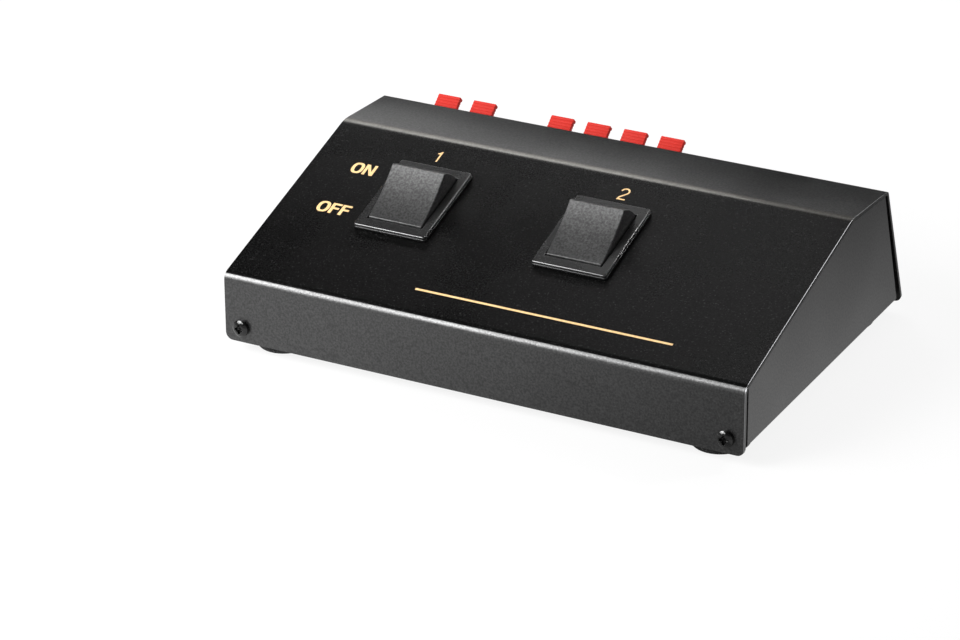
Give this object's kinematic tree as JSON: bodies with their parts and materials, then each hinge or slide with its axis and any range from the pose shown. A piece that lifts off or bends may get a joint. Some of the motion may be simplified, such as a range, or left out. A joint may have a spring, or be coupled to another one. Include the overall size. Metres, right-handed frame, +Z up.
{
  "type": "speaker selector switch",
  "caption": "Low folded-steel desk box with a sloping panel, two rocker switches, and push-lever spring terminals on the back for an amplifier and two pairs of speakers.",
  "frame": {"origin": "on the table, under the middle of the whole object", "axes": "+X to the right seen from the front, +Y to the rear, +Z up; the front faces -Y"},
  "size_m": [0.18, 0.1257, 0.0497],
  "materials": {
    "painted_steel": "fine satin texture",
    "foot_rubber": "cellular",
    "black_screws": "gloss black",
    "plated_steel": "zinc plated",
    "bezel_plastic": "matt",
    "rocker_plastic": "satin",
    "white_nylon": "natural",
    "spring_steel": "bright",
    "brass": "stamped",
    "silver_contact": "bright",
    "block_plastic": "semi-gloss",
    "plated_strip": "nickel plated",
    "red_plastic": "gloss",
    "black_lever_plastic": "semi-gloss",
    "red_wire": "pvc",
    "black_wire": "pvc"
  },
  "bodies": {
    "case": {"cover": "painted_steel", "chassis": "painted_steel", "feet": "foot_rubber", "cover_screws": "black_screws", "terminal_screws": "black_screws", "terminal_nuts": "plated_steel", "switch_1_housing": "bezel_plastic", "switch_1_common_terminals": "brass", "switch_1_load_terminals": "brass", "switch_1_fixed_contacts": "silver_contact", "switch_2_housing": "bezel_plastic", "switch_2_common_terminals": "brass", "switch_2_load_terminals": "brass", "switch_2_fixed_contacts": "silver_contact", "amplifier_terminal_housing": "block_plastic", "amplifier_terminal_back": "block_plastic", "amplifier_contact_strips": "plated_strip", "amplifier_return_springs": "spring_steel", "speaker_terminal_housing": "block_plastic", "speaker_terminal_back": "block_plastic", "speaker_contact_strips": "plated_strip", "speaker_return_springs": "spring_steel", "switch_1_output_wires": "red_wire", "switch_2_output_wires": "red_wire", "right_feed_wires": "red_wire", "left_feed_wires": "red_wire", "right_return_wires": "black_wire", "left_return_wires": "black_wire"},
    "switch_1_rocker_group": {"switch_1_rocker": "rocker_plastic", "switch_1_plungers": "white_nylon", "switch_1_plunger_springs": "spring_steel"},
    "switch_1_bar_group": {"switch_1_contact_bars": "brass", "switch_1_moving_contacts": "silver_contact"},
    "switch_2_rocker_group": {"switch_2_rocker": "rocker_plastic", "switch_2_plungers": "white_nylon", "switch_2_plunger_springs": "spring_steel"},
    "switch_2_bar_group": {"switch_2_contact_bars": "brass", "switch_2_moving_contacts": "silver_contact"},
    "amplifier_right_plus_lever_group": {"amplifier_right_plus_lever": "red_plastic"},
    "amplifier_right_minus_lever_group": {"amplifier_right_minus_lever": "black_lever_plastic"},
    "amplifier_left_plus_lever_group": {"amplifier_left_plus_lever": "red_plastic"},
    "amplifier_left_minus_lever_group": {"amplifier_left_minus_lever": "black_lever_plastic"},
    "speaker_2_right_plus_lever_group": {"speaker_2_right_plus_lever": "red_plastic"},
    "speaker_2_right_minus_lever_group": {"speaker_2_right_minus_lever": "black_lever_plastic"},
    "speaker_2_left_plus_lever_group": {"speaker_2_left_plus_lever": "red_plastic"},
    "speaker_2_left_minus_lever_group": {"speaker_2_left_minus_lever": "black_lever_plastic"},
    "speaker_1_right_plus_lever_group": {"speaker_1_right_plus_lever": "red_plastic"},
    "speaker_1_right_minus_lever_group": {"speaker_1_right_minus_lever": "black_lever_plastic"},
    "speaker_1_left_plus_lever_group": {"speaker_1_left_plus_lever": "red_plastic"},
    "speaker_1_left_minus_lever_group": {"speaker_1_left_minus_lever": "black_lever_plastic"}
  },
  "joints": [
    {"name": "switch_1_press", "type": "hinge", "parent": "case", "child": "switch_1_rocker_group", "pos_m": [-0.0471, -0.01419, 0.03753], "axis": [-1, 0, 0], "range_deg": [0, 38.2]},
    {"name": "switch_1_bars_tilt", "type": "hinge", "parent": "case", "child": "switch_1_bar_group", "pos_m": [-0.0471, -0.01158, 0.02891], "axis": [1, 0, 0], "range_deg": [0, 12]},
    {"name": "switch_2_press", "type": "hinge", "parent": "case", "child": "switch_2_rocker_group", "pos_m": [0.0161, -0.01419, 0.03753], "axis": [-1, 0, 0], "range_deg": [0, 38.2]},
    {"name": "switch_2_bars_tilt", "type": "hinge", "parent": "case", "child": "switch_2_bar_group", "pos_m": [0.0161, -0.01158, 0.02891], "axis": [1, 0, 0], "range_deg": [0, 12]},
    {"name": "amplifier_right_plus_lever_press", "type": "hinge", "parent": "case", "child": "amplifier_right_plus_lever_group", "pos_m": [-0.06078, 0.04855, 0.03636], "axis": [1, 0, 0], "range_deg": [0, 16], "stiffness_Nm_per_rad": 0.1, "springref_deg": -8.59, "deforming": ["amplifier_return_springs"]},
    {"name": "amplifier_right_minus_lever_press", "type": "hinge", "parent": "case", "child": "amplifier_right_minus_lever_group", "pos_m": [-0.06078, 0.05296, 0.02036], "axis": [-1, 0, 0], "range_deg": [0, 16], "stiffness_Nm_per_rad": 0.1, "springref_deg": -8.59, "deforming": ["amplifier_return_springs"]},
    {"name": "amplifier_left_plus_lever_press", "type": "hinge", "parent": "case", "child": "amplifier_left_plus_lever_group", "pos_m": [-0.07412, 0.04855, 0.03636], "axis": [1, 0, 0], "range_deg": [0, 16], "stiffness_Nm_per_rad": 0.1, "springref_deg": -8.59, "deforming": ["amplifier_return_springs"]},
    {"name": "amplifier_left_minus_lever_press", "type": "hinge", "parent": "case", "child": "amplifier_left_minus_lever_group", "pos_m": [-0.07412, 0.05296, 0.02036], "axis": [-1, 0, 0], "range_deg": [0, 16], "stiffness_Nm_per_rad": 0.1, "springref_deg": -8.59, "deforming": ["amplifier_return_springs"]},
    {"name": "speaker_2_right_plus_lever_press", "type": "hinge", "parent": "case", "child": "speaker_2_right_plus_lever_group", "pos_m": [0.00802, 0.04855, 0.03636], "axis": [1, 0, 0], "range_deg": [0, 16], "stiffness_Nm_per_rad": 0.1, "springref_deg": -8.59, "deforming": ["speaker_return_springs"]},
    {"name": "speaker_2_right_minus_lever_press", "type": "hinge", "parent": "case", "child": "speaker_2_right_minus_lever_group", "pos_m": [0.00802, 0.05296, 0.02036], "axis": [-1, 0, 0], "range_deg": [0, 16], "stiffness_Nm_per_rad": 0.1, "springref_deg": -8.59, "deforming": ["speaker_return_springs"]},
    {"name": "speaker_2_left_plus_lever_press", "type": "hinge", "parent": "case", "child": "speaker_2_left_plus_lever_group", "pos_m": [-0.00532, 0.04855, 0.03636], "axis": [1, 0, 0], "range_deg": [0, 16], "stiffness_Nm_per_rad": 0.1, "springref_deg": -8.59, "deforming": ["speaker_return_springs"]},
    {"name": "speaker_2_left_minus_lever_press", "type": "hinge", "parent": "case", "child": "speaker_2_left_minus_lever_group", "pos_m": [-0.00532, 0.05296, 0.02036], "axis": [-1, 0, 0], "range_deg": [0, 16], "stiffness_Nm_per_rad": 0.1, "springref_deg": -8.59, "deforming": ["speaker_return_springs"]},
    {"name": "speaker_1_right_plus_lever_press", "type": "hinge", "parent": "case", "child": "speaker_1_right_plus_lever_group", "pos_m": [-0.01868, 0.04855, 0.03636], "axis": [1, 0, 0], "range_deg": [0, 16], "stiffness_Nm_per_rad": 0.1, "springref_deg": -8.59, "deforming": ["speaker_return_springs"]},
    {"name": "speaker_1_right_minus_lever_press", "type": "hinge", "parent": "case", "child": "speaker_1_right_minus_lever_group", "pos_m": [-0.01868, 0.05296, 0.02036], "axis": [-1, 0, 0], "range_deg": [0, 16], "stiffness_Nm_per_rad": 0.1, "springref_deg": -8.59, "deforming": ["speaker_return_springs"]},
    {"name": "speaker_1_left_plus_lever_press", "type": "hinge", "parent": "case", "child": "speaker_1_left_plus_lever_group", "pos_m": [-0.03202, 0.04855, 0.03636], "axis": [1, 0, 0], "range_deg": [0, 16], "stiffness_Nm_per_rad": 0.1, "springref_deg": -8.59, "deforming": ["speaker_return_springs"]},
    {"name": "speaker_1_left_minus_lever_press", "type": "hinge", "parent": "case", "child": "speaker_1_left_minus_lever_group", "pos_m": [-0.03202, 0.05296, 0.02036], "axis": [-1, 0, 0], "range_deg": [0, 16], "stiffness_Nm_per_rad": 0.1, "springref_deg": -8.59, "deforming": ["speaker_return_springs"]}
  ],
  "couplings": [
    {"joint": "switch_1_bars_tilt", "follows": "switch_1_press", "ratio": 0.31414},
    {"joint": "switch_2_bars_tilt", "follows": "switch_2_press", "ratio": 0.31414}
  ]
}
